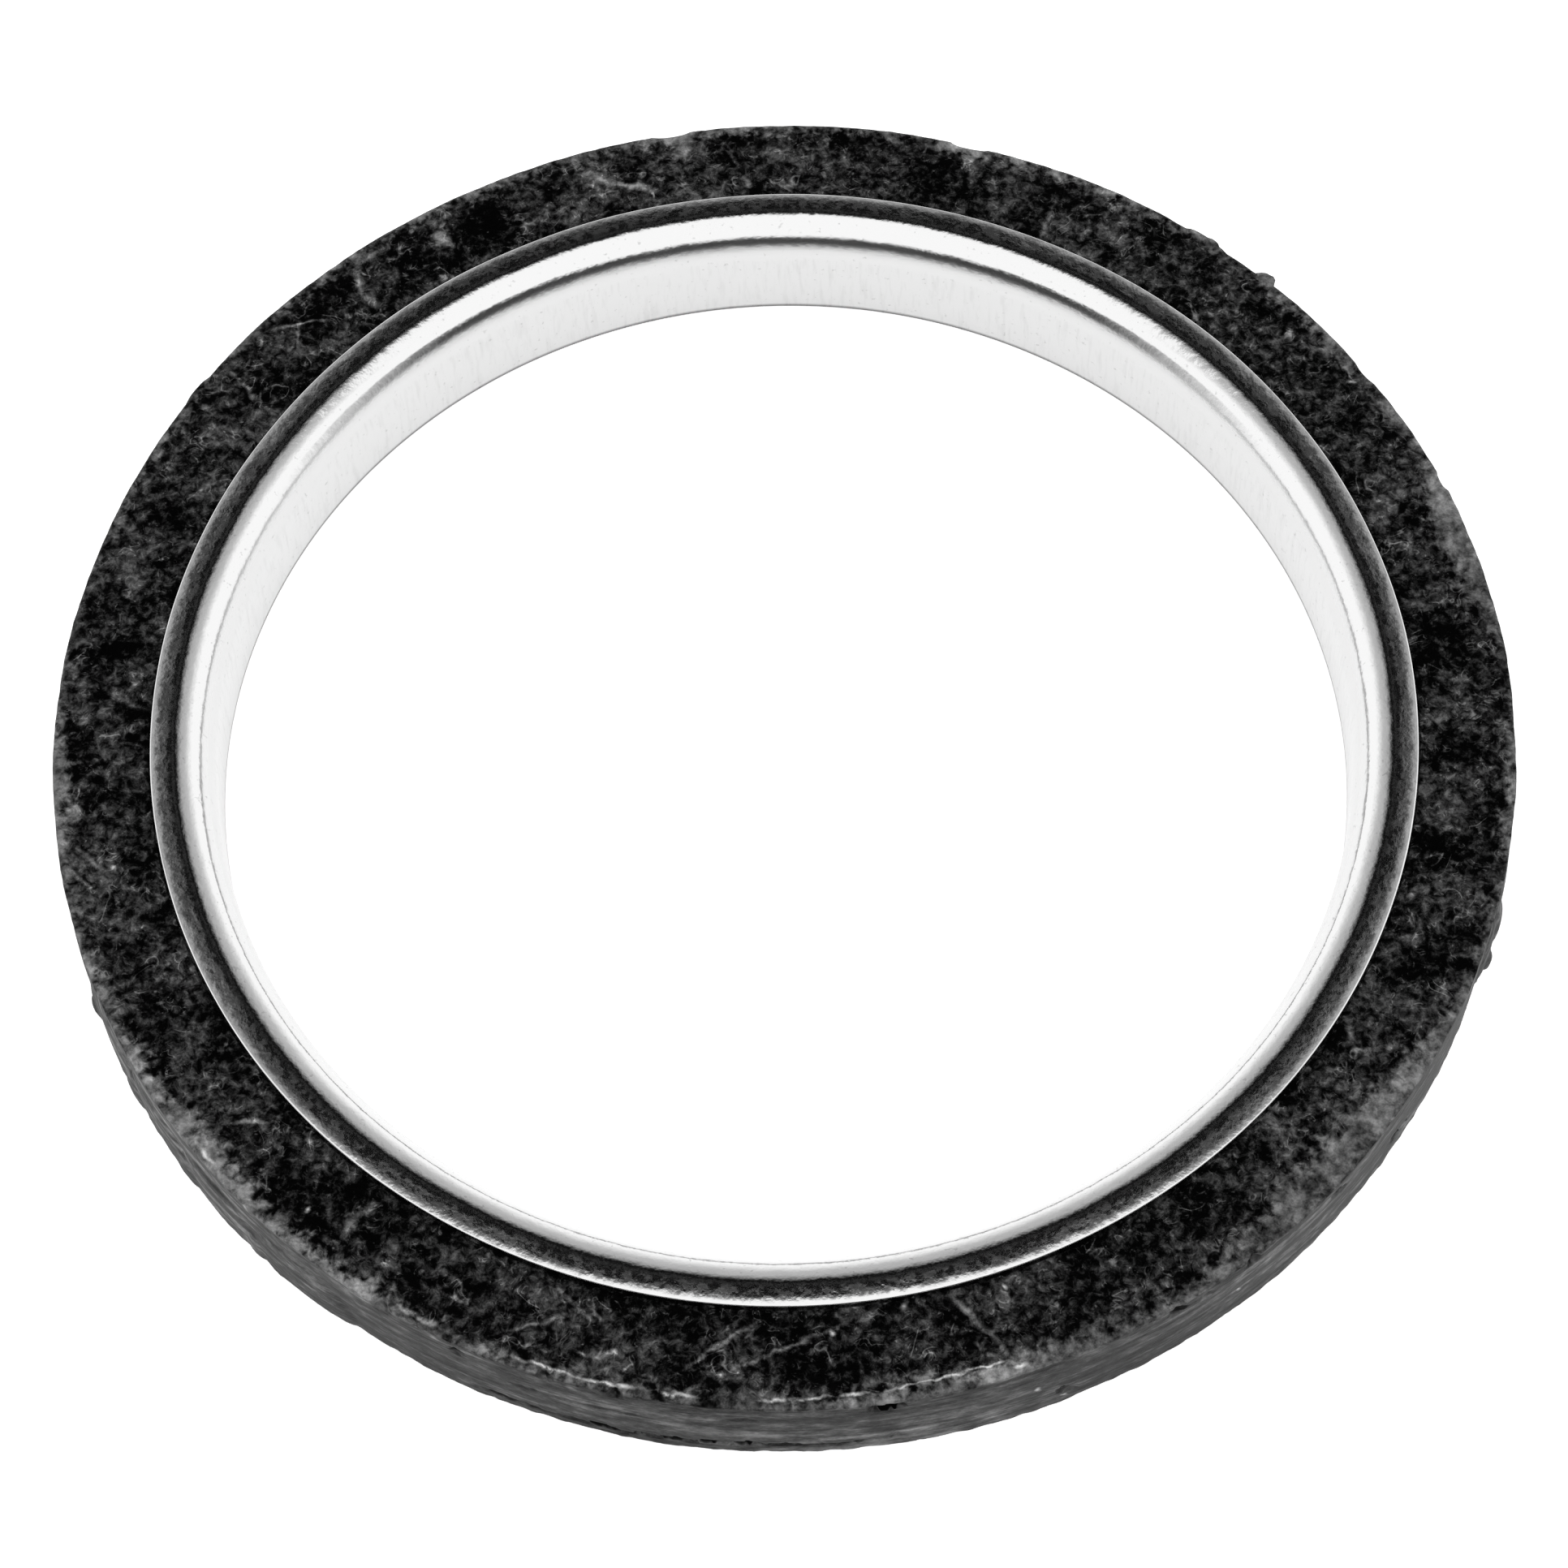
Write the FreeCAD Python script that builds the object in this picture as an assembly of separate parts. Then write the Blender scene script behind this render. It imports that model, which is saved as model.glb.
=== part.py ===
"""Ring gasket for an exhaust flange: a pressed graphite ring on a drawn steel liner.

Frame: the gasket lies flat, its axis is +Z, and the origin is the centre of its underside.
Sizes are millimetres. Each piece is one section, turned about the axis.
"""
import FreeCAD
import Part
import math
import os

# The exhaust pipe that the gasket is made for, and the play that lets it slip in
pipe_diameter = 50.8
pipe_play = 0.2

# The liner: stainless sheet drawn to a short tube, whose upper end turns outwards to a flange.
# The blanked rim of the flange is broken.
sheet = 0.45
inner_bend_radius = 1.15
flange_flat = 0.65
rim_break_share = 2 / 3

# The graphite ring, wound from foil and pressed around the liner. Its band is what the two
# pipe flanges crush. Its outer edges are worn off.
graphite_band = 4.3
graphite_height = 5.5
top_edge_wear = 0.4
bottom_edge_wear = 0.2
moulded_flats = 3

# How deep the liner's flange is pressed into the graphite, and the gap round its rim
flange_seat_depth = 0.15
rim_gap = 0.05

# Radii and heights that both pieces share
bore_radius = pipe_diameter / 2 + pipe_play
wall_outer_radius = bore_radius + sheet
outer_bend_radius = inner_bend_radius + sheet
rim_break = sheet * rim_break_share
bend_centre_radius = bore_radius + outer_bend_radius
rim_radius = bend_centre_radius + flange_flat + rim_break
flange_under_z = graphite_height - flange_seat_depth
flange_top_z = flange_under_z + sheet
bend_centre_z = flange_top_z - outer_bend_radius
seat_radius = rim_radius + rim_gap
graphite_radius = seat_radius + graphite_band


def point(radius, height):
    """A point of a section, in the half plane that starts at the axis."""
    return FreeCAD.Vector(radius, 0, height)


def on_bend(radius, degrees):
    """A point of the liner's bend: 0 degrees is at the tube wall, 90 degrees at the flange."""
    turn = math.radians(180 - degrees)
    return point(bend_centre_radius + radius * math.cos(turn), bend_centre_z + radius * math.sin(turn))


def turned(section):
    """The solid that a closed section makes in one full turn about the axis.

    The section goes from point to point. A pair of points is the middle and the end of an arc.
    """
    edges = []
    here = section[0]
    for stretch in section[1:] + section[:1]:
        if isinstance(stretch, tuple):
            middle, end = stretch
            edges.append(Part.Arc(here, middle, end).toShape())
        else:
            end = stretch
            edges.append(Part.LineSegment(here, end).toShape())
        here = end
    face = Part.Face(Part.Wire(edges))
    return face.revolve(FreeCAD.Vector(0, 0, 0), FreeCAD.Vector(0, 0, 1), 360)


def steel_liner():
    """Tube wall, quarter bend and short flat flange, all of one sheet."""
    return turned([
        point(bore_radius, 0),
        on_bend(outer_bend_radius, 0),
        (on_bend(outer_bend_radius, 45), on_bend(outer_bend_radius, 90)),
        point(rim_radius - rim_break, flange_top_z),
        point(rim_radius, flange_top_z - rim_break),
        point(rim_radius, flange_under_z),
        on_bend(inner_bend_radius, 90),
        (on_bend(inner_bend_radius, 45), on_bend(inner_bend_radius, 0)),
        point(wall_outer_radius, 0),
    ])


def graphite_ring():
    """Block section, moulded to the back of the liner, with a seat for its flange."""
    moulded_corner = []
    for step in range(moulded_flats + 1):
        moulded_corner.append(on_bend(inner_bend_radius, 90 * step / moulded_flats))
    return turned([
        point(wall_outer_radius, 0),
        *moulded_corner,
        point(seat_radius, flange_under_z),
        point(seat_radius, graphite_height),
        point(graphite_radius - top_edge_wear, graphite_height),
        point(graphite_radius, graphite_height - top_edge_wear),
        point(graphite_radius, bottom_edge_wear),
        point(graphite_radius - bottom_edge_wear, 0),
    ])


pieces = {
    "steel_liner": steel_liner(),
    "graphite_ring": graphite_ring(),
}

os.makedirs("parts", exist_ok=True)
for name, shape in pieces.items():
    shape.exportStep(f"parts/{name}.step")
    print(f"{name}: valid {shape.isValid()}, {shape.Volume:.1f} cubic mm")
print(f"bore radius {bore_radius:.2f}, straight wall {bend_centre_z:.2f} high")
print(f"outside radius {graphite_radius:.2f}, height {flange_top_z:.2f}")
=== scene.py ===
"""An exhaust gasket: a pressed graphite ring on a flanged liner of stainless sheet.

The gasket lies flat on a pale floor, in metres, in the same frame as its CAD model.
"""
import math

import bmesh
import bpy
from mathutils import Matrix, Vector


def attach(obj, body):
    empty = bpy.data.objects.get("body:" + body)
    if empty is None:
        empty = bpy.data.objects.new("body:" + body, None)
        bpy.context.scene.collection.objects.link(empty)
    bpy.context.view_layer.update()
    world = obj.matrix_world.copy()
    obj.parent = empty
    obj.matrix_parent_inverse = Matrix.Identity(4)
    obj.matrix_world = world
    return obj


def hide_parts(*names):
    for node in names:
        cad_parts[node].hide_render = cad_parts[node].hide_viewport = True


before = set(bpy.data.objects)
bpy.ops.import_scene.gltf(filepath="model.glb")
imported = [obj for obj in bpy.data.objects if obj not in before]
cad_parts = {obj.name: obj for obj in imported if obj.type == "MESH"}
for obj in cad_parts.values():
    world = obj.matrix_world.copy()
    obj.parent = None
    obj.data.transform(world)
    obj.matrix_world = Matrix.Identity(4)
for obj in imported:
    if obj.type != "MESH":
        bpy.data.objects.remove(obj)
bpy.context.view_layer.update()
mm = 0.001

# The camera looks down at the ring from its near side, with a portrait lens, and is held a
# little askew, so the far side of the ring leans to the left.
bpy.ops.object.select_all(action="DESELECT")
bpy.ops.object.camera_add(
    location=(0, -81.6 * mm, 151.9 * mm),
    rotation=[math.radians(tilt) for tilt in (27.977, 0.932, -1.708)],
)
camera = bpy.context.object
camera.name = "camera"
camera.data.lens = 86.5
camera.data.sensor_width = 36
camera.data.clip_start = 0.01
bpy.context.scene.camera = camera
bpy.context.scene.view_settings.view_transform = "Standard"


# The floor is a white sheet of card, which the light burns out to white round the ring. What
# the camera and the bright metal see of it is lifted to white, so only a soft shadow is left.
def add(tree, kind, inputs=None, stops=None, **settings):
    """Adds a node: its settings, a colour ramp's stops, and for each input a value or a link."""
    made = tree.nodes.new(kind)
    for name, value in settings.items():
        setattr(made, name, value)
    for name, value in (inputs or {}).items():
        if isinstance(value, bpy.types.Node):
            value = value.outputs[0]
        if isinstance(value, bpy.types.NodeSocket):
            tree.links.new(value, made.inputs[name])
        else:
            made.inputs[name].default_value = value
    if stops:
        ramp = made.color_ramp.elements
        while len(ramp) < len(stops):
            ramp.new(1)
        for element, (place, colour) in zip(ramp, stops):
            element.position = place
            element.color = colour
    return made


def linear(hex_colour):
    """The linear colour of an sRGB hex value."""
    channels = [int(hex_colour[i : i + 2], 16) / 255 for i in (1, 3, 5)]
    return [c / 12.92 if c <= 0.04045 else ((c + 0.055) / 1.055) ** 2.4 for c in channels] + [1]


def new_material(name):
    """An empty node material and its tree."""
    material = bpy.data.materials.new(name)
    material.use_nodes = True
    material.node_tree.nodes.clear()
    return material, material.node_tree


bpy.ops.mesh.primitive_plane_add(size=6, location=(0, 0, 0))
floor = bpy.context.object
floor.name = "floor"
white_card, tree = new_material("matt_white_card")
paper = add(tree, "ShaderNodeBsdfDiffuse", {"Color": linear("#F2F2F2")})
seen = add(tree, "ShaderNodeLightPath")
bright = add(
    tree,
    "ShaderNodeMath",
    {0: seen.outputs["Is Camera Ray"], 1: seen.outputs["Is Glossy Ray"]},
    operation="MAXIMUM",
)
lift = add(tree, "ShaderNodeMath", {0: bright, 1: 0.5}, operation="MULTIPLY")
glow = add(tree, "ShaderNodeEmission", {"Strength": lift})
both = add(tree, "ShaderNodeAddShader", {0: paper, 1: glow})
add(tree, "ShaderNodeOutputMaterial", {"Surface": both})
floor.data.materials.append(white_card)

# The studio is a pale room with a large softbox overhead, tilted to the camera side. A black
# flag hangs behind the ring and the camera side is dark. The bright sheet mirrors all of it.
softbox_tilt = math.radians(22)
softbox_edge = math.radians(38)
flag_height = math.radians(61.5)
world = bpy.data.worlds.new("studio")
bpy.context.scene.world = world
world.use_nodes = True
tree = world.node_tree
tree.nodes.clear()
way = add(tree, "ShaderNodeTexCoord").outputs["Generated"]
axes = add(tree, "ShaderNodeSeparateXYZ", {0: way})


def grey(value):
    """A neutral linear colour."""
    return [value, value, value, 1]


def along(direction):
    """How far the way that is looked in points along a direction."""
    dot = add(tree, "ShaderNodeVectorMath", {0: way, 1: direction}, operation="DOT_PRODUCT")
    return dot.outputs["Value"]


flag_up = along((0, -math.sin(flag_height), math.cos(flag_height)))
flag_side = add(tree, "ShaderNodeMath", {0: axes.outputs["X"], 1: 1 / 0.85}, operation="MULTIPLY")
flag_off = add(tree, "ShaderNodeCombineXYZ", {0: flag_up, 1: flag_side})
flag_off = add(tree, "ShaderNodeVectorMath", {0: flag_off}, operation="LENGTH").outputs["Value"]
flag_middle = along((0, math.cos(flag_height), math.sin(flag_height)))
behind = add(
    tree, "ShaderNodeMapRange", {"Value": flag_middle, "From Min": 0.0, "From Max": -0.1}
)
flag_off = add(tree, "ShaderNodeMath", {0: flag_off, 1: behind}, operation="ADD")
room = add(
    tree,
    "ShaderNodeValToRGB",
    {0: flag_off},
    stops=[
        (0.0, grey(0.07)),
        (0.035, grey(0.05)),
        (0.06, grey(0.002)),
        (0.14, grey(0.002)),
        (0.2, grey(0.17)),
        (0.25, grey(0.36)),
        (0.31, grey(0.62)),
        (0.4, grey(0.9)),
        (0.55, grey(1.05)),
        (0.68, grey(1.4)),
        (0.82, grey(2.0)),
    ],
)
low = add(tree, "ShaderNodeMapRange", {"Value": axes.outputs["Z"], "From Min": 0.52, "From Max": 0.4})
near_side = add(
    tree, "ShaderNodeMapRange", {"Value": axes.outputs["Y"], "From Min": -0.1, "From Max": -0.6}
)
dark = add(tree, "ShaderNodeMath", {0: low, 1: near_side}, operation="MULTIPLY")
dark = add(tree, "ShaderNodeMapRange", {"Value": dark, "To Min": 1.0, "To Max": 0.04})
room = add(tree, "ShaderNodeMath", {0: room, 1: dark}, operation="MULTIPLY")
softbox = add(
    tree,
    "ShaderNodeMapRange",
    {
        "Value": along((0, -math.sin(softbox_tilt), math.cos(softbox_tilt))),
        "From Min": math.cos(softbox_edge + math.radians(4)),
        "From Max": math.cos(softbox_edge - math.radians(4)),
        "To Max": 2.0,
    },
    interpolation_type="SMOOTHSTEP",
)
light = add(tree, "ShaderNodeMath", {0: room, 1: softbox}, operation="MAXIMUM")
seen = add(tree, "ShaderNodeLightPath")
sky = add(tree, "ShaderNodeMath", {0: light, 1: seen.outputs["Is Camera Ray"]}, operation="MAXIMUM")
background = add(tree, "ShaderNodeBackground", {"Strength": sky})
add(tree, "ShaderNodeOutputWorld", {"Surface": background})


# The liner is one ring of thin stainless sheet: a short tube that lines the bore, drawn and
# then turned outwards over the graphite in a quarter bend. Its blanked rim is rolled over.
def edit(piece):
    """Opens a piece in edit mode, with nothing selected."""
    bpy.ops.object.select_all(action="DESELECT")
    bpy.context.view_layer.objects.active = piece
    piece.select_set(True)
    bpy.ops.object.mode_set(mode="EDIT")
    bpy.ops.mesh.select_mode(type="VERT")
    bpy.ops.mesh.select_all(action="DESELECT")


def pick(piece, wanted):
    """Selects the vertices whose place passes a test, and the edges and faces between them."""
    bpy.ops.mesh.select_all(action="DESELECT")
    mesh = bmesh.from_edit_mesh(piece.data)
    for vertex in mesh.verts:
        if wanted(vertex.co):
            vertex.select_set(True)
    mesh.select_flush(True)
    bmesh.update_edit_mesh(piece.data)


def near(x, z):
    """A test for the corner of a section at a radius and a height in mm."""
    return lambda p: abs(p.x - x * mm) < 0.01 * mm and abs(p.z - z * mm) < 0.01 * mm


def section_block(name, inner, outer, low, high):
    """A rectangle that stands in the half plane y = 0, opened in edit mode."""
    bpy.ops.object.select_all(action="DESELECT")
    bpy.ops.mesh.primitive_plane_add(size=1, rotation=(math.pi / 2, 0, 0))
    piece = bpy.context.object
    piece.name = name
    piece.scale = ((outer - inner) * mm, (high - low) * mm, 1)
    piece.location = ((inner + outer) / 2 * mm, 0, (low + high) / 2 * mm)
    bpy.ops.object.transform_apply(location=True, rotation=True, scale=True)
    edit(piece)
    return piece


def pull(piece, wanted, way):
    """Extrudes the selected edge of a section by a distance in mm."""
    pick(piece, wanted)
    bpy.ops.mesh.extrude_region_move(TRANSFORM_OT_translate={"value": [step * mm for step in way]})


def round_corner(piece, corner, radius, segments):
    """Rounds one corner of a section."""
    pick(piece, near(*corner))
    bpy.ops.mesh.bevel(offset_type="OFFSET", offset=radius * mm, segments=segments, affect="VERTICES")


def divide(piece, wanted, cuts):
    """Divides the straight edges of a section between two of its corners."""
    pick(piece, wanted)
    bpy.ops.mesh.subdivide(number_cuts=cuts)


def turn(piece, steps, doublings=5):
    """Spins a section about the ring's axis through a short arc, and copies that arc round."""
    arc = math.tau / 2**doublings
    bpy.ops.mesh.select_all(action="SELECT")
    bpy.ops.mesh.spin(steps=steps // 2**doublings, angle=arc, center=(0, 0, 0), axis=(0, 0, 1))
    for doubling in range(doublings):
        bpy.ops.mesh.select_all(action="SELECT")
        bpy.ops.mesh.duplicate()
        bpy.ops.transform.rotate(value=arc * 2**doubling, orient_axis="Z", center_override=(0, 0, 0))
    bpy.ops.mesh.select_all(action="SELECT")
    bpy.ops.mesh.remove_doubles(threshold=0.002 * mm)
    bpy.ops.mesh.normals_make_consistent(inside=False)


# Sizes in mm. The bend is two arcs, because the sheet springs back from the die: a cut across
# the corner, whose lower end is drawn inwards and down, and both its ends rounded.
bore, rim, flange_top, sheet = 25.6, 28.15, 5.8, 0.45
outside_of_wall, flange_under = bore + sheet, flange_top - sheet
corner_cut, drawn_in, drawn_down = 0.87, 0.18, 0.295
inner_bend = 1.15
liner = section_block("steel_liner_sheet", bore, outside_of_wall, 0, flange_under)
pull(liner, lambda p: abs(p.z - flange_under * mm) < 1e-6, (0, 0, sheet))
pull(liner, lambda p: p.x > 26 * mm and p.z > 5.3 * mm, (rim - outside_of_wall, 0, 0))
bpy.ops.mesh.select_all(action="SELECT")
bpy.ops.mesh.dissolve_limited(angle_limit=math.radians(1))
round_corner(liner, (bore, flange_top), corner_cut, 1)
pick(liner, near(bore, flange_top - corner_cut))
bpy.ops.transform.translate(value=(-drawn_in * mm, 0, -drawn_down * mm))
round_corner(liner, (bore + corner_cut, flange_top), 0.8, 14)
round_corner(liner, (bore - drawn_in, flange_top - corner_cut - drawn_down), 0.765, 10)
round_corner(liner, (outside_of_wall, flange_under), inner_bend, 8)
round_corner(liner, (rim, flange_top), 0.11, 4)
round_corner(liner, (rim, flange_under), 0.05, 2)
round_corner(liner, (bore, 0), 0.1, 3)
bpy.ops.mesh.select_all(action="SELECT")
bpy.ops.mesh.delete(type="ONLY_FACE")

# The wall, the flange and the back get points between their corners. The flange falls a few
# microns towards its rim, and the bend runs out softly into it and into the wall.
divide(liner, lambda p: p.x < 25.65 * mm and 0.08 * mm < p.z < 3.9 * mm, 18)
divide(liner, lambda p: p.z > 5.79 * mm and 27.2 * mm < p.x < 28.02 * mm, 6)
divide(liner, lambda p: p.x > 26.04 * mm and p.z < 4.25 * mm, 3)
for falls_from, drop in [(27.66, 0.002), (27.76, 0.003), (27.86, 0.003), (27.95, 0.003)]:
    pick(liner, lambda p: p.x > falls_from * mm and p.z > 5.5 * mm)
    bpy.ops.transform.translate(value=(0, 0, -drop * mm))
pick(liner, lambda p: p.z > 5.5 * mm and 26.6 * mm < p.x < 27.7 * mm)
bpy.ops.mesh.vertices_smooth(factor=0.5, repeat=8)
pick(liner, lambda p: p.x < 26.02 * mm and 1.8 * mm < p.z < 5.5 * mm)
bpy.ops.mesh.vertices_smooth(factor=0.5, repeat=10)
turn(liner, 736)
bpy.ops.object.mode_set(mode="OBJECT")
bpy.ops.object.shade_smooth_by_angle(angle=math.radians(40))


def clouds(name, size, depth):
    """A soft lumpy texture for a displacement, with lumps of a size in mm."""
    texture = bpy.data.textures.new(name, "CLOUDS")
    texture.noise_scale = size * mm
    texture.noise_depth = depth
    texture.noise_basis = "IMPROVED_PERLIN"
    return texture


def displace(piece, texture, strength, mid_level=0.5, where="", stretched=None):
    """Moves a piece's surface in and out by a texture, by a strength in mm, and applies it."""
    bpy.ops.object.select_all(action="DESELECT")
    bpy.context.view_layer.objects.active = piece
    piece.select_set(True)
    moved = piece.modifiers.new(texture.name, "DISPLACE")
    moved.texture = texture
    moved.strength = strength * mm
    moved.mid_level = mid_level
    moved.vertex_group = where
    if stretched:
        moved.texture_coords = "OBJECT"
        moved.texture_coords_object = stretched
    else:
        moved.texture_coords = "LOCAL"
    bpy.ops.object.modifier_apply(modifier=moved.name)


def weigh(piece, name, weight):
    """Makes a vertex group whose weights follow from each vertex's radius and height in mm."""
    group = piece.vertex_groups.new(name=name)
    steps = {}
    for vertex in piece.data.vertices:
        p = vertex.co / mm
        share = round(min(1, max(0, weight(math.hypot(p.x, p.y), p.z))) * 40) / 40
        if share:
            steps.setdefault(share, []).append(vertex.index)
    for share, members in steps.items():
        group.add(members, share, "REPLACE")


# The press has left the flange a little uneven, so its reflections wander round the ring.
weigh(liner, "flange", lambda r, z: (r - 26.3) / 1.5 if z > 4.5 else 0)
displace(liner, clouds("uneven_flange", 11, 1), 0.12, 0.75, "flange")


# Bright rolled stainless sheet, which mirrors the studio. Drawing it through the die has left
# an orange peel of tiny dents all over, and fine upright lines on the tube wall. Graphite is
# rubbed into the flange, and shade is painted along the foot of the tube wall. The real dents and
# lines are a few hundredths of a millimetre wide, too fine to show, so they are drawn about 0.2 mm
# wide.
def ring_places(tree):
    """The place on a piece in mm, its height, and its distance from the ring's axis."""
    place = add(tree, "ShaderNodeTexCoord").outputs["Object"]
    in_mm = add(tree, "ShaderNodeVectorMath", {0: place, "Scale": 1 / mm}, operation="SCALE")
    height = add(tree, "ShaderNodeSeparateXYZ", {0: in_mm}).outputs["Z"]
    flat = add(tree, "ShaderNodeVectorMath", {0: in_mm, 1: (1, 1, 0)}, operation="MULTIPLY")
    radius = add(tree, "ShaderNodeVectorMath", {0: flat}, operation="LENGTH").outputs["Value"]
    return in_mm, height, radius


def mottle(tree, where, size, detail, roughness, edges, tones=(0, 1), soft=True, distortion=0.0):
    """Blotches whose largest lumps have a size in mm. They go from one tone to the other between
    two values of the noise, in a straight line or softly."""
    lumps = add(
        tree,
        "ShaderNodeTexNoise",
        {
            "Vector": where,
            "Scale": 1 / size,
            "Detail": detail,
            "Roughness": roughness,
            "Distortion": distortion,
        },
    )
    return add(
        tree,
        "ShaderNodeMapRange",
        {
            "Value": lumps,
            "From Min": edges[0],
            "From Max": edges[1],
            "To Min": tones[0],
            "To Max": tones[1],
        },
        interpolation_type="SMOOTHSTEP" if soft else "LINEAR",
    )


stainless, tree = new_material("drawn_stainless_sheet")
in_mm, height, radius = ring_places(tree)
dents = add(
    tree,
    "ShaderNodeTexNoise",
    {"Vector": in_mm, "Scale": 1 / 0.22, "Detail": 2.0, "Roughness": 0.55},
)
waves = add(tree, "ShaderNodeTexNoise", {"Vector": in_mm, "Scale": 1 / 0.9, "Detail": 1.0})
peel = add(tree, "ShaderNodeMath", {0: waves, 1: 2.4, 2: dents}, operation="MULTIPLY_ADD")
upright = add(tree, "ShaderNodeVectorMath", {0: in_mm, 1: (1, 1, 0.12)}, operation="MULTIPLY")
drawn = add(
    tree,
    "ShaderNodeTexNoise",
    {"Vector": upright, "Scale": 1 / 0.25, "Detail": 3.0, "Roughness": 0.6},
)
below_bend = add(
    tree, "ShaderNodeMapRange", {"Value": height, "From Min": 5.0, "From Max": 4.0}
)
lines = add(tree, "ShaderNodeMath", {0: drawn, 1: below_bend}, operation="MULTIPLY")
peel = add(tree, "ShaderNodeMath", {0: lines, 1: 0.7, 2: peel}, operation="MULTIPLY_ADD")
bump = add(tree, "ShaderNodeBump", {"Height": peel, "Strength": 1.0, "Distance": 0.007 * mm})

# The flange's dull band lies between two radii. Spots and drawn lines are dull too. A dark band
# at the foot of the wall is painted shade, where the wall meets the floor.
band_starts = add(
    tree,
    "ShaderNodeMapRange",
    {"Value": radius, "From Min": 27.0, "From Max": 27.45},
    interpolation_type="SMOOTHSTEP",
)
band_ends = add(
    tree,
    "ShaderNodeMapRange",
    {"Value": radius, "From Min": 27.98, "From Max": 27.8},
    interpolation_type="SMOOTHSTEP",
)
band = add(tree, "ShaderNodeMath", {0: band_starts, 1: band_ends}, operation="MULTIPLY")
smear = mottle(tree, in_mm, 0.4, 4.0, 0.65, (0.46, 0.62))
smear = add(tree, "ShaderNodeMath", {0: smear, 1: band}, operation="MULTIPLY")
spots = mottle(tree, in_mm, 0.25, 2.0, 0.5, (0.66, 0.74), (0, 0.22), soft=False)
streaks_and_foot_shade = add(
    tree, "ShaderNodeMapRange", {"Value": lines, "From Min": 0.5, "From Max": 0.8, "To Max": 0.12}
)
# Painted shade: the foot of the tube wall is mixed towards the dark colour, where it meets the floor.
painted_foot_shade = add(
    tree,
    "ShaderNodeMapRange",
    {"Value": height, "From Min": 0.32, "From Max": 0.12, "To Max": 0.75},
)
streaks_and_foot_shade = add(tree, "ShaderNodeMath", {0: streaks_and_foot_shade, 1: painted_foot_shade}, operation="ADD")
dull_and_foot_shade = add(tree, "ShaderNodeMath", {0: spots, 1: streaks_and_foot_shade}, operation="ADD")
dull_and_foot_shade = add(tree, "ShaderNodeMath", {0: smear, 1: 0.75, 2: dull_and_foot_shade}, operation="MULTIPLY_ADD")
bright_steel, rubbed_graphite_and_shade = linear("#C9C9C9"), linear("#1E1E1E")
colour = add(
    tree,
    "ShaderNodeMix",
    {"Factor": dull_and_foot_shade, 6: bright_steel, 7: rubbed_graphite_and_shade},
    data_type="RGBA",
    clamp_factor=True,
)
matt = add(tree, "ShaderNodeMapRange", {"Value": dull_and_foot_shade, "To Min": 0.1, "To Max": 0.3})
rubbed = add(
    tree, "ShaderNodeMapRange", {"Value": height, "From Min": 5.3, "From Max": 4.7, "To Max": 0.2}
)
matt = add(tree, "ShaderNodeMath", {0: matt, 1: rubbed}, operation="ADD")
metal = add(
    tree,
    "ShaderNodeBsdfPrincipled",
    {"Base Color": colour.outputs[2], "Metallic": 1.0, "Roughness": matt, "Normal": bump},
)
add(tree, "ShaderNodeOutputMaterial", {"Surface": metal})
liner.data.materials.append(stainless)
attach(liner, "root")
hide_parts("steel_liner")

# The graphite ring is wound from expanded foil and pressed round the liner to one block. Its
# top keeps the dark pressed skin, its outer wall shows the layers, and its edges are worn.
seat, outside, ring_top = 28.2, 32.5, 5.5
ring = section_block("graphite_ring_block", outside_of_wall, seat, 0, flange_under)
pull(ring, lambda p: p.x > 28.1 * mm, (outside - seat, 0, 0))
pull(ring, lambda p: p.x > 28.1 * mm and p.z > 5.3 * mm, (0, 0, ring_top - flange_under))
bpy.ops.mesh.select_all(action="SELECT")
bpy.ops.mesh.dissolve_limited(angle_limit=math.radians(1))
round_corner(ring, (outside_of_wall, flange_under), inner_bend, 6)
round_corner(ring, (outside, ring_top), 0.18, 4)
round_corner(ring, (outside, 0), 0.16, 4)
round_corner(ring, (seat, ring_top), 0.04, 2)
bpy.ops.mesh.select_all(action="SELECT")
bpy.ops.mesh.delete(type="ONLY_FACE")
divide(ring, lambda p: p.z > 5.49 * mm and p.x > 28.2 * mm, 22)
divide(ring, lambda p: p.x > 32.49 * mm, 32)
divide(ring, lambda p: p.z < 0.01 * mm, 11)
divide(ring, lambda p: p.x < 26.1 * mm and p.z < 4.3 * mm, 2)
turn(ring, 1088)
bpy.ops.object.mode_set(mode="OBJECT")
bpy.ops.object.shade_smooth_by_angle(angle=math.radians(50))


# Handling has worn the ring: its outline wanders, its edges are ragged and crumbled, and the
# foil's layers stand out as fine ridges that run round the wall.
bpy.ops.object.empty_add()
layers_run = bpy.context.object
layers_run.scale = (12, 12, 1)
weigh(ring, "outer_wall", lambda r, z: (r - 31.2) / 1.2)
weigh(ring, "top_edge", lambda r, z: 1.15 - math.hypot(r - 32.4, z - 5.45) / 1.1)
weigh(ring, "bottom_edge", lambda r, z: 1.1 - math.hypot(r - 32.4, z - 0.1) / 0.6 if r > 30 else 0)
weigh(ring, "wall", lambda r, z: (r - 32.2) / 0.25)
weigh(ring, "top", lambda r, z: (r - 28.4) / 0.4 if z > 5.4 else 0)
displace(ring, clouds("wandering_outline", 8, 1), 0.22, 0.62, "outer_wall")
displace(ring, clouds("worn_top_edge", 3.1, 2), 0.14, 0.62, "top_edge")
displace(ring, clouds("ragged_top_edge", 0.6, 3), 0.07, 0.6, "top_edge")
displace(ring, clouds("crumbled_bottom_edge", 0.8, 3), 0.2, 0.6, "bottom_edge")
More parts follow.
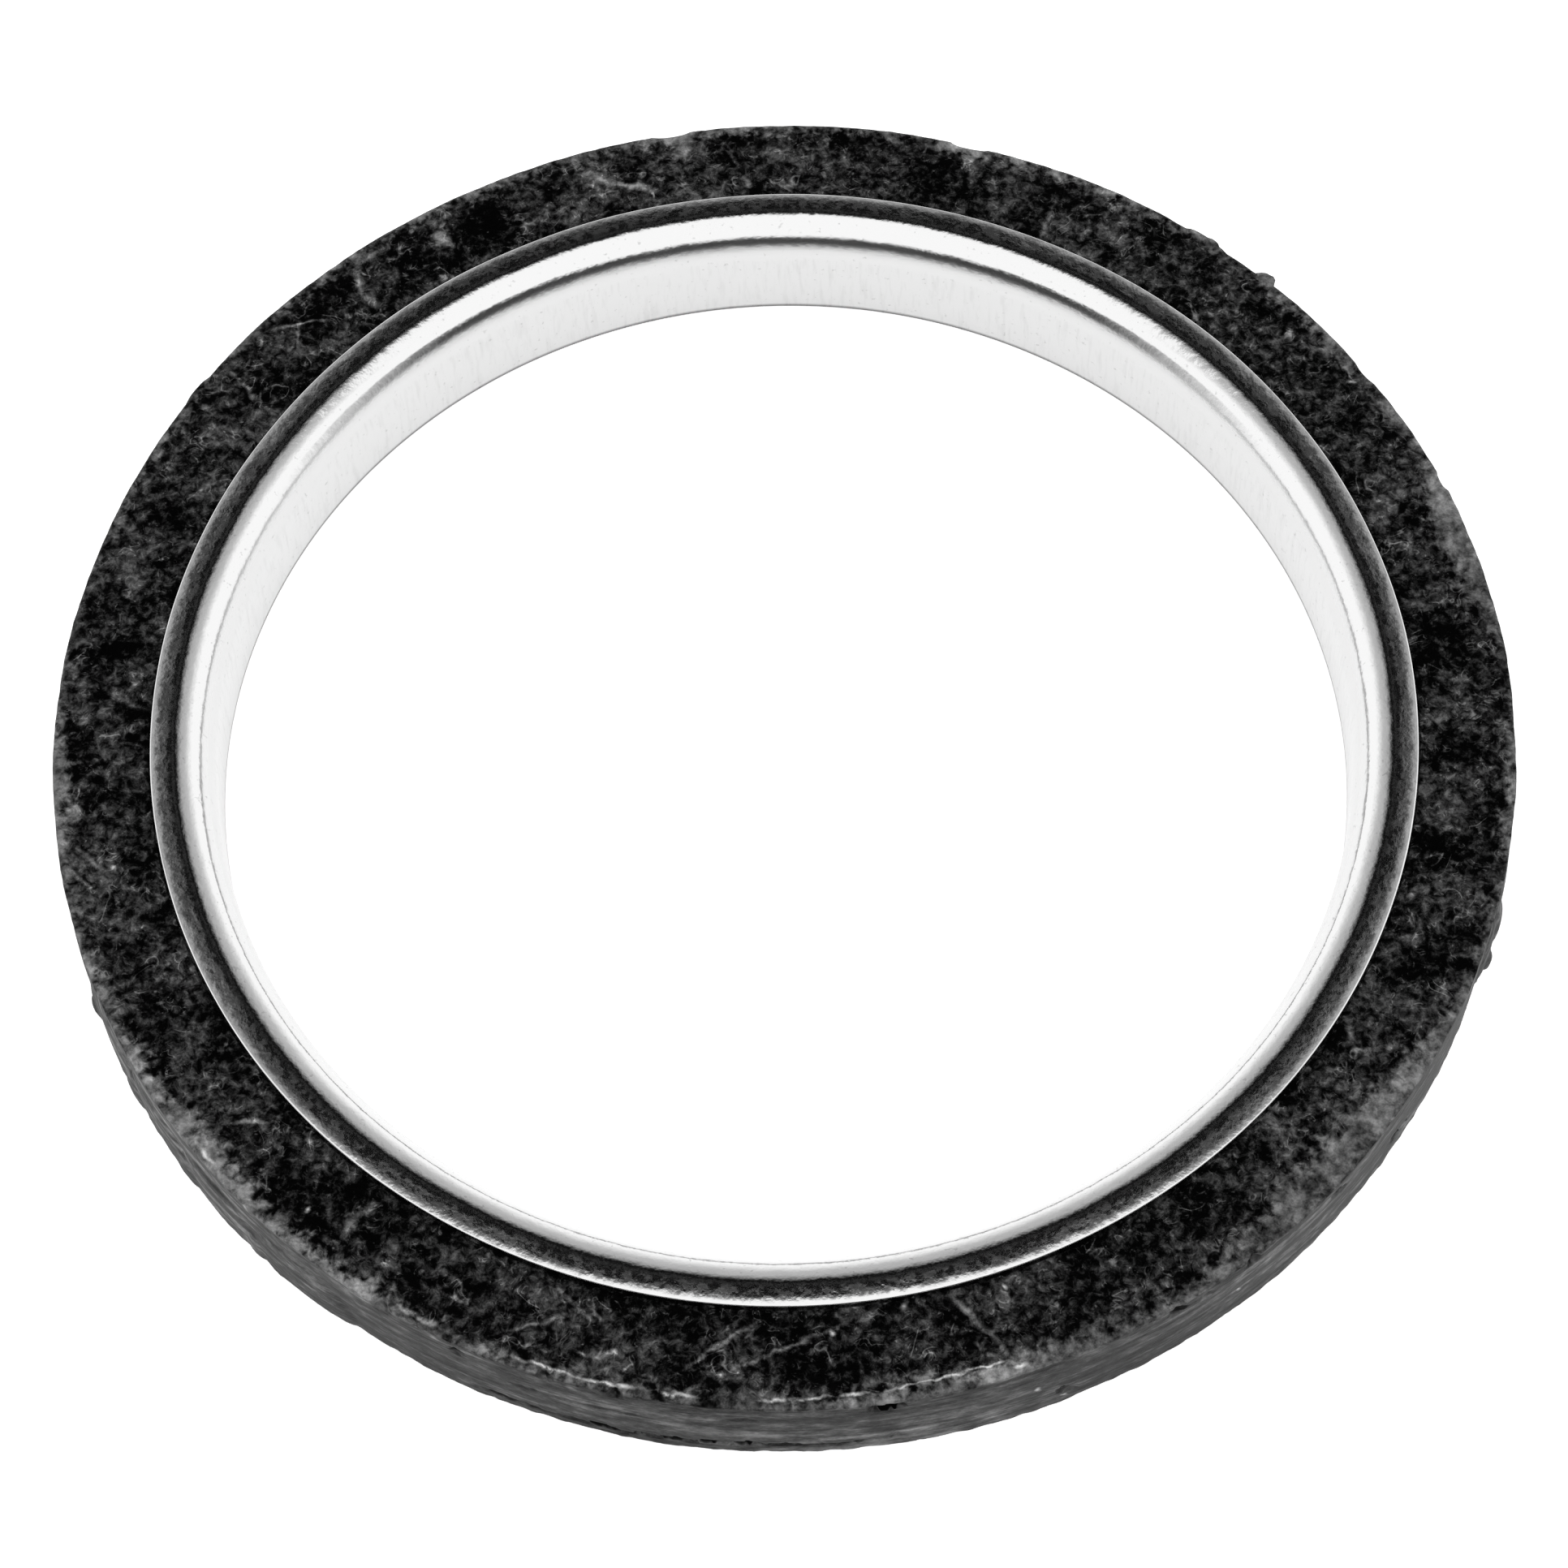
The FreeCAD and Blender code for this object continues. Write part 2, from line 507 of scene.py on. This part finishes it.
displace(ring, clouds("foil_layers", 0.5, 2), 0.05, 0.55, "wall", layers_run)
displace(ring, clouds("dented_top", 1.1, 3), 0.05, 0.75, "top")
bpy.data.objects.remove(layers_run)


def push(piece, degrees_round, radius, height, out, up, reach):
    """Pushes the surface round one place out and up, in mm, falling off within a reach."""
    angle = math.radians(degrees_round)
    round_it = Vector((math.cos(angle), math.sin(angle), 0))
    place = (round_it * radius + Vector((0, 0, height))) * mm
    mesh = bmesh.from_edit_mesh(piece.data)
    nearest = min(mesh.verts, key=lambda vertex: (vertex.co - place).length_squared)
    bpy.ops.mesh.select_all(action="DESELECT")
    nearest.select_set(True)
    bmesh.update_edit_mesh(piece.data)
    bpy.ops.transform.translate(
        value=(round_it * out + Vector((0, 0, up))) * mm,
        use_proportional_edit=True,
        proportional_edit_falloff="SPHERE",
        proportional_size=reach * mm,
    )


def open_crack(piece, turn_1, height_1, turn_2, height_2, wide, deep):
    """Opens a crack between two layers of the wall, by degrees round it and height in mm."""

    def in_crack(p):
        angle = math.degrees(math.atan2(p.y, p.x)) % 360
        share = (angle - turn_1) / (turn_2 - turn_1)
        wander = 0.08 * math.sin(angle * 2.3) + 0.05 * math.sin(angle * 7.1)
        off = p.z / mm - height_1 - share * (height_2 - height_1) - wander
        return 0 <= share <= 1 and abs(off) < wide / 2 and math.hypot(p.x, p.y) > 31.8 * mm

    pick(piece, in_crack)
    pressed_in = 1 - deep / outside
    bpy.ops.transform.resize(value=(pressed_in, pressed_in, 1), center_override=(0, 0, 0))


# Crumbs stand out at the far edge, bits have broken out of the near one, and low on the near
# side the layers have come apart in one long crack.
edit(ring)
for turn_at, radius_at, height_at, out, up, reach in [
    (43.8, 32.4, 5.4, 0.42, -0.05, 0.5),
    (43.2, 32.4, 5.3, 0.2, 0, 0.35),
    (50.2, 32.4, 5.3, 0.25, -0.05, 0.9),
    (49.0, 32.4, 5.3, 0.15, -0.05, 0.6),
    (275.9, 32.4, 5.0, -0.6, -0.05, 0.36),
    (275.0, 32.4, 4.95, -0.5, -0.05, 0.36),
    (276.7, 32.4, 5.05, -0.3, -0.05, 0.3),
    (237.6, 32.4, 5.3, -0.3, -0.1, 0.4),
    (243.7, 32.4, 4.6, -0.2, 0, 0.35),
    (250.9, 32.4, 5.3, -0.28, -0.1, 0.35),
    (256.1, 32.4, 5.3, -0.25, -0.1, 0.3),
    (289.1, 32.4, 1.7, -0.25, 0, 0.35),
    (289.7, 32.4, 1.4, -0.15, 0, 0.3),
    (298.2, 32.4, 5.0, -0.2, 0, 0.4),
    (300.8, 32.4, 4.7, -0.15, 0, 0.3),
    (305.0, 32.4, 5.2, -0.3, -0.05, 0.35),
    (313.8, 32.4, 4.6, -0.25, 0, 0.3),
    (314.4, 32.4, 4.2, -0.2, 0, 0.3),
    (19.5, 32.4, 5.4, -0.1, -0.06, 0.5),
    (31.5, 32.4, 5.4, -0.08, -0.04, 0.6),
    (72.0, 32.4, 5.4, -0.12, -0.05, 0.9),
    (98.0, 32.4, 5.4, -0.12, -0.05, 0.8),
    (146.0, 32.4, 5.4, 0.12, 0, 0.8),
    (199.5, 32.4, 0.3, 0.15, 0.05, 0.6),
    (196.0, 32.4, 1.0, 0.22, 0, 3.0),
    (204.0, 32.4, 0.8, 0.26, 0, 3.0),
    (212.0, 32.4, 0.8, 0.24, 0, 3.0),
    (220.0, 32.4, 0.8, 0.2, 0, 3.0),
    (229.0, 32.4, 0.8, 0.2, 0, 3.0),
    (340.2, 32.4, 0.3, 0.2, 0.05, 0.5),
    (338.9, 32.4, 0.2, -0.3, 0.1, 0.4),
    (346.5, 32.4, 0.9, 0.3, 0, 2.6),
    (341.5, 32.4, 0.5, 0.28, 0, 2.0),
    (321.9, 32.4, 2.0, -0.15, 0, 0.4),
    (323.2, 32.4, 1.7, -0.15, 0, 0.4),
]:
    push(ring, turn_at, radius_at, height_at, out, up, reach)
for crack in [
    (244.8, 1.02, 250.5, 0.9, 0.17, 0.08),
    (250.5, 0.9, 253.8, 0.95, 0.17, 0.06),
    (253.8, 1.1, 257.2, 0.75, 0.22, 0.18),
    (257.4, 1.0, 266.4, 1.2, 0.24, 0.22),
    (266.4, 1.1, 270.5, 1.0, 0.17, 0.08),
    (270.5, 0.95, 276.2, 1.05, 0.17, 0.08),
    (276.2, 1.05, 276.9, 1.6, 0.3, 0.1),
    (247.0, 3.1, 258.0, 3.3, 0.17, 0.04),
    (262.0, 4.2, 266.5, 4.1, 0.17, 0.05),
]:
    open_crack(ring, *crack)

# What the wear has pushed below the floor is pressed flat.
pick(ring, lambda p: p.z < 0)
bpy.ops.transform.resize(value=(1, 1, 0), center_override=(0, 0, 0))
bpy.ops.object.mode_set(mode="OBJECT")

# Expanded graphite foil, pressed in a die. The skin of the top is near black, with paler
# curled flakes and scratches. Outside it is worn to grey, with the foil's layers as streaks.
graphite, tree = new_material("pressed_graphite_foil")
in_mm, height, radius = ring_places(tree)
shifted = add(tree, "ShaderNodeVectorMath", {0: in_mm, 1: (37, 11, 5)}, operation="ADD")
wobble = add(tree, "ShaderNodeTexNoise", {"Vector": in_mm, "Scale": 1 / 0.7, "Detail": 2.0})
half = (0.5, 0.5, 0.5)
wobble = add(
    tree, "ShaderNodeVectorMath", {0: wobble.outputs["Color"], 1: half}, operation="SUBTRACT"
)
wobbled = add(
    tree, "ShaderNodeVectorMath", {0: wobble, 1: half, 2: in_mm}, operation="MULTIPLY_ADD"
)


def curls(size, width, edges):
    """Thin curled lines, of which only some stretches show."""
    line = add(
        tree,
        "ShaderNodeTexNoise",
        {"Vector": in_mm, "Scale": 1 / size, "Detail": 1.0, "Distortion": 1.2},
    )
    line = add(tree, "ShaderNodeMath", {0: line, 1: 0.5}, operation="SUBTRACT")
    line = add(tree, "ShaderNodeMath", {0: line}, operation="ABSOLUTE")
    line = add(
        tree,
        "ShaderNodeMapRange",
        {"Value": line, "From Min": width, "From Max": 0.0},
        interpolation_type="SMOOTHSTEP",
    )
    shown = mottle(tree, shifted, size * 0.8, 1.0, 0.5, edges)
    return add(tree, "ShaderNodeMath", {0: line, 1: shown}, operation="MULTIPLY")


def marks(places, so_far):
    """Adds long thin marks to a value. Each lies between two points, given as degrees round the
    ring, radius and height, and has its widths across and upwards in mm, and a strength."""
    for (turn_1, radius_1, height_1), (turn_2, radius_2, height_2), across, upwards, strength in places:
        ends = [
            Vector((r * math.cos(math.radians(t)), r * math.sin(math.radians(t)), z))
            for t, r, z in ((turn_1, radius_1, height_1), (turn_2, radius_2, height_2))
        ]
        run = ends[1] - ends[0]
        near_by = add(
            tree,
            "ShaderNodeMapping",
            {
                "Vector": wobbled,
                "Location": (ends[0] + ends[1]) / 2,
                "Rotation": (0, -math.asin(run.z / run.length), math.atan2(run.y, run.x)),
                "Scale": (run.length * 0.6, across, upwards),
            },
            vector_type="TEXTURE",
        )
        mark = add(tree, "ShaderNodeTexGradient", {"Vector": near_by}, gradient_type="SPHERICAL")
        so_far = add(
            tree,
            "ShaderNodeMath",
            {0: mark.outputs["Fac"], 1: strength, 2: so_far},
            operation="MULTIPLY_ADD",
        )
    return so_far


def on_top(turn_1, share_1, turn_2, share_2, width=0.2, strength=0.25):
    """A mark on the top, between two points by degrees and share of the ring's radius."""
    ends = (turn_1, share_1 * outside, 5.45), (turn_2, share_2 * outside, 5.45)
    return *ends, width, 1.5, strength


def on_wall(turn_1, height_1, turn_2, height_2, width, strength):
    """A mark on the wall, between two points by degrees and height in mm."""
    return (turn_1, 32.4, height_1), (turn_2, 32.4, height_2), 1.0, width, strength


# The pressed skin: soft blotches, grain, curled flakes and pale specks, and the photographed
# scratches and dots over them. Tones are as the eye sees them, from 0 for black to 1 for white.
skin = mottle(tree, in_mm, 2.4, 4.0, 0.65, (0.3, 0.7), (-0.15, 0.14), soft=False)
grain_of_skin = mottle(
    tree, in_mm, 0.45, 5.0, 0.72, (0.25, 0.75), (-0.15, 0.37), soft=False, distortion=0.4
)
skin = add(tree, "ShaderNodeMath", {0: skin, 1: grain_of_skin}, operation="ADD")
for pattern, strength in [
    (curls(1.4, 0.035, (0.54, 0.66)), 0.2),
    (curls(0.7, 0.05, (0.55, 0.67)), 0.17),
    (mottle(tree, shifted, 0.2, 1.0, 0.5, (0.7, 0.8)), 0.16),
]:
    skin = add(
        tree, "ShaderNodeMath", {0: pattern, 1: strength, 2: skin}, operation="MULTIPLY_ADD"
    )
skin = marks(
    [
        on_top(31.6, 0.972, 31.2, 0.968, 0.3, 0.54),
        on_top(63.2, 0.987, 60.2, 0.55),
        on_top(70.6, 0.91, 72, 0.985, 0.3, 0.16),
        on_top(93.4, 0.968, 92.2, 0.91, 0.18, 0.25),
        on_top(92.2, 0.91, 91.2, 0.88, 0.18, 0.2),
        on_top(98.3, 0.955, 95.4, 0.972, 0.5, 0.25),
        on_top(106.6, 0.961, 103, 0.92, 0.3, 0.3),
        on_top(103.2, 0.925, 99.6, 0.89, 0.28, 0.3),
        on_top(106, 0.95, 105, 0.89, 0.3, 0.22),
        on_top(105, 0.93, 101, 0.912, 0.25, 0.2),
        on_top(100.9, 0.893, 100.6, 0.892, 0.25, 0.48),
        on_top(121.6, 0.945, 119.8, 0.94, 0.7, 0.45),
        on_top(130, 0.918, 128, 0.982, 0.25, 0.3),
        on_top(128.2, 0.98, 124.4, 0.975, 0.25, 0.25),
        on_top(129.6, 0.93, 129.1, 0.875, 0.3, 0.22),
        on_top(130.4, 0.905, 128.4, 0.935, 0.5, 0.16),
        on_top(137.8, 0.982, 133.2, 0.925, 0.17, 0.36),
        on_top(135.3, 0.963, 137.8, 0.918, 0.15, 0.24),
        on_top(143, 0.982, 144.2, 0.905, 0.2, 0.22),
        on_top(175.6, 0.944, 177.8, 0.88, 0.28, 0.26),
        on_top(180.6, 0.925, 179.2, 0.88, 0.35, 0.2),
        on_top(188, 0.971, 186.6, 0.968, 0.5, 0.3),
        on_top(195.8, 0.951, 192.2, 0.989, 0.15, 0.26),
        on_top(194, 0.932, 190.6, 0.974, 0.15, 0.24),
        on_top(193.2, 0.928, 192.8, 0.928, 0.22, 0.54),
        on_top(201.8, 0.894, 199.8, 0.926, 0.17, 0.22),
        on_top(218.4, 0.943, 220.6, 0.9, 0.17, 0.3),
        on_top(228.7, 0.95, 228.2, 0.952, 0.25, 0.6),
        on_top(232.2, 0.955, 231.8, 0.92, 0.35, 0.26),
        on_top(231.8, 0.92, 232.6, 0.888, 0.3, 0.2),
        on_top(251.8, 0.905, 246.2, 0.969, 0.16, 0.26),
        on_top(252.8, 0.914, 248.8, 0.876, 0.16, 0.22),
        on_top(255.6, 0.946, 254.9, 0.947, 0.2, 0.4),
        on_top(274.6, 0.883, 264, 0.953, 0.15, 0.3),
        on_top(266.2, 0.883, 260.2, 0.96, 0.15, 0.3),
        on_top(264, 0.953, 263.2, 0.954, 0.22, 0.42),
        on_top(285.6, 0.972, 283.8, 0.92, 0.2, 0.22),
        on_top(284, 0.925, 282.2, 0.87, 0.2, 0.24),
        on_top(271.6, 0.925, 269.6, 0.915, 0.8, 0.14),
        on_top(272.6, 0.9, 272.1, 0.9, 0.22, 0.6),
        on_top(278.7, 0.88, 278.1, 0.879, 0.2, 0.42),
        on_top(286.9, 0.886, 286.5, 0.885, 0.2, 0.48),
        on_top(296, 0.908, 295.5, 0.909, 0.22, 0.48),
        on_top(326.6, 0.955, 324.4, 0.935, 0.2, 0.22),
        on_top(324.6, 0.935, 323.4, 0.9, 0.2, 0.22),
        on_top(323.4, 0.9, 325.6, 0.885, 0.2, 0.16),
        on_top(357.6, 0.905, 355.6, 0.89, 0.3, 0.2),
        on_top(39, 0.96, 37.2, 0.945, 0.3, 0.25),
        on_top(118.8, 0.93, 113.6, 0.94, 2.0, -0.2),
    ],
    skin,
)

# The worn wall: the foil's layers are streaks that run round the ring, in broad darker and paler
# bands, with torn flakes of foil over them. A broad paler patch on the near left side is painted
# sheen, and the dark marks along the cracks and in the pushed-in chips are painted shade.
round_the_ring = add(
    tree, "ShaderNodeVectorMath", {0: in_mm, 1: (0.1, 0.1, 1.8)}, operation="MULTIPLY"
)
layers = add(
    tree,
    "ShaderNodeTexNoise",
    {"Vector": round_the_ring, "Scale": 1.0, "Detail": 4.0, "Roughness": 0.65},
)
wall = add(
    tree,
    "ShaderNodeMapRange",
    {"Value": layers, "From Min": 0.34, "From Max": 0.66, "To Min": 0.17, "To Max": 0.42},
)
for stretch, detail, roughness, depth in [
    ((0.05, 0.05, 0.55), 2.0, 0.5, 0.05),
    ((0.7, 0.7, 1.3), 4.0, 0.75, 0.17),
]:
    stretched = add(tree, "ShaderNodeVectorMath", {0: in_mm, 1: stretch}, operation="MULTIPLY")
    torn = mottle(tree, stretched, 1, detail, roughness, (0.3, 0.7), (-depth, depth), soft=False)
    wall = add(tree, "ShaderNodeMath", {0: wall, 1: torn}, operation="ADD")
wall = marks(
    [
        # Painted sheen: a broad paler patch on the near-left wall, where it catches the light at a
        # grazing angle.
        ((200, 32.4, 3), (238, 32.4, 3), 7.0, 5.0, 0.13),
        on_wall(287.4, 2.8, 286.9, 2.7, 0.28, 0.5),
        on_wall(304.5, 2.6, 304.0, 2.5, 0.28, 0.45),
        on_wall(289.5, 1.0, 289.2, 0.9, 0.3, 0.4),
        # Painted shade: the dark marks from here on that sit in the pushed-in chips and along the
        # cracks stand for the shade in those hollows.
        on_wall(289.0, 1.8, 289.6, 1.6, 0.3, -0.5),
        on_wall(297.8, 5.0, 299.2, 4.9, 0.3, -0.3),
        on_wall(300.6, 4.9, 301.1, 4.8, 0.3, -0.3),
        on_wall(313.4, 4.7, 314.5, 4.2, 0.25, -0.5),
        on_wall(321.0, 2.2, 323.9, 1.7, 0.3, -0.4),
        # Painted shade along the long crack low on the near side.
        on_wall(244.8, 1.02, 250.5, 0.9, 0.16, -0.25),
        on_wall(253.6, 1.1, 257.2, 0.75, 0.2, -0.45),
        on_wall(257.2, 1.0, 262, 1.15, 0.2, -0.5),
        on_wall(261.5, 1.15, 266.6, 1.2, 0.22, -0.6),
        on_wall(266.4, 1.1, 270.5, 1.0, 0.15, -0.25),
        on_wall(270.5, 0.95, 276.2, 1.05, 0.15, -0.25),
        # Painted shade, deep, in the chip broken out of the near edge.
        on_wall(274.7, 4.95, 276.9, 5.0, 0.34, -2.0),
        on_wall(247.0, 3.1, 252, 3.2, 0.2, -0.1),
        on_wall(252.0, 3.2, 258, 3.3, 0.2, -0.1),
        on_wall(244.5, 2.7, 250, 2.9, 0.2, -0.06),
        on_wall(258.8, 4.5, 264, 4.4, 0.25, -0.08),
        on_wall(263.4, 4.1, 267, 4.0, 0.25, -0.1),
        on_wall(243.3, 4.6, 244.2, 4.5, 0.25, -0.3),
        on_wall(237.2, 5.2, 238.1, 5.3, 0.3, -0.25),
        on_wall(241.5, 5.0, 242.4, 4.9, 0.35, 0.2),
        on_wall(250.6, 5.1, 251.2, 5.3, 0.25, -0.3),
        on_wall(252.3, 4.9, 253.4, 4.9, 0.3, 0.22),
        on_wall(256.0, 5.1, 256.4, 5.3, 0.25, -0.3),
        on_wall(224.3, 5.2, 224.9, 5.1, 0.3, 0.3),
        on_wall(230.8, 2.6, 232, 3.0, 0.3, 0.15),
        on_wall(252.4, 0.25, 256.4, 0.2, 0.25, -0.5),
        on_wall(304.8, 5.2, 305.4, 5.1, 0.3, -0.6),
    ],
    wall,
)

# How far the top is worn in from the outer edge, in mm, with a ragged border.
worn_to = mottle(tree, shifted, 7.0, 2.0, 0.5, (0.45, 0.8), (0.15, 0.7))
worn_to = marks(
    [
        on_top(300, 1, 331, 1, 4.0, 1.5),
        on_top(6, 1, 21, 1, 3.5, 1.7),
        on_top(204, 1, 242, 1, 3.0, 0.5),
        on_top(246, 1, 288, 1, 3.0, 0.5),
        on_top(96, 1, 98.5, 1, 2.5, 1.4),
        on_top(70, 1, 76, 1, 2.5, 0.8),
    ],
    worn_to,
)
ragged = mottle(tree, in_mm, 0.9, 4.0, 0.7, (0, 1), (-1.3, 1.3), soft=False)
inwards = add(tree, "ShaderNodeMath", {0: outside, 1: radius}, operation="SUBTRACT")
worn = add(tree, "ShaderNodeMath", {0: ragged, 1: worn_to}, operation="ADD")
worn = add(tree, "ShaderNodeMath", {0: worn, 1: inwards}, operation="SUBTRACT")
worn = add(
    tree,
    "ShaderNodeMapRange",
    {"Value": worn, "From Min": -0.7, "From Max": 0.4},
    interpolation_type="SMOOTHSTEP",
)
below_edge = add(
    tree,
    "ShaderNodeMapRange",
    {"Value": height, "From Min": 5.3, "From Max": 5.0},
    interpolation_type="SMOOTHSTEP",
)
worn = add(tree, "ShaderNodeMath", {0: worn, 1: below_edge}, operation="MAXIMUM")
at_edge = add(
    tree,
    "ShaderNodeMapRange",
    {"Value": height, "From Min": 5.1, "From Max": 5.4, "To Max": 0.6},
    interpolation_type="SMOOTHSTEP",
)
wall = add(
    tree, "ShaderNodeMath", {0: grain_of_skin, 1: at_edge, 2: wall}, operation="MULTIPLY_ADD"
)
tone = add(tree, "ShaderNodeMix", {"Factor": worn, 2: skin, 3: wall}, data_type="FLOAT")

# Thin bright lines along the near edge: partly where the skin has broken off, and partly a painted
# highlight where that edge catches the light.
edge_lines_and_highlights = marks(
    [
        ((284.9, 31.75, 5.45), (281.3, 31.8, 5.45), 0.1, 0.4, 0.65),
        ((281.8, 31.8, 5.45), (278.7, 31.85, 5.45), 0.1, 0.4, 0.55),
        ((278.9, 31.85, 5.45), (275.9, 31.9, 5.45), 0.08, 0.4, 0.4),
        ((274.6, 31.9, 5.45), (271.9, 31.95, 5.45), 0.12, 0.4, 0.6),
        ((272.0, 31.95, 5.45), (269.0, 32.0, 5.45), 0.1, 0.4, 0.5),
        ((268.9, 32.0, 5.45), (266.4, 32.0, 5.45), 0.1, 0.4, 0.5),
        ((262.2, 32.0, 5.45), (258.6, 32.05, 5.45), 0.12, 0.3, 0.65),
        ((257.8, 32.05, 5.45), (253.0, 32.1, 5.45), 0.12, 0.3, 0.6),
        ((253.0, 32.1, 5.45), (248.2, 32.1, 5.45), 0.12, 0.3, 0.6),
        ((286.5, 32.1, 5.45), (285.2, 32.1, 5.45), 0.14, 0.3, 0.5),
        ((242.2, 32.1, 5.45), (238.2, 32.1, 5.45), 0.14, 0.3, 0.35),
        ((220.5, 32.1, 5.45), (218.2, 32.1, 5.45), 0.14, 0.3, 0.4),
    ],
    0.0,
)
broken = mottle(tree, in_mm, 0.4, 3.0, 0.65, (0.3, 0.5), (0.25, 1))
tone = add(tree, "ShaderNodeMath", {0: edge_lines_and_highlights, 1: broken, 2: tone}, operation="MULTIPLY_ADD")
tone = add(tree, "ShaderNodeMath", {0: tone, 1: 0.005}, operation="MAXIMUM")

# Here the tone becomes linear light, as the shader needs it.
tone = add(tree, "ShaderNodeMath", {0: tone, 1: 2.2}, operation="POWER")
grain = add(
    tree,
    "ShaderNodeTexNoise",
    {"Vector": in_mm, "Scale": 1 / 0.35, "Detail": 4.0, "Roughness": 0.65},
)
grain = add(tree, "ShaderNodeMath", {0: layers, 1: worn, 2: grain}, operation="MULTIPLY_ADD")
bump = add(tree, "ShaderNodeBump", {"Height": grain, "Strength": 1.0, "Distance": 0.03 * mm})
rough = add(
    tree,
    "ShaderNodeMapRange",
    {"Value": tone, "From Min": 0.0, "From Max": 0.1, "To Min": 0.35, "To Max": 0.65},
)
foil = add(
    tree,
    "ShaderNodeBsdfPrincipled",
    {"Base Color": tone, "Roughness": rough, "Specular IOR Level": 0.02, "Normal": bump},
)
add(tree, "ShaderNodeOutputMaterial", {"Surface": foil})
ring.data.materials.append(graphite)
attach(ring, "root")
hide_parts("graphite_ring")
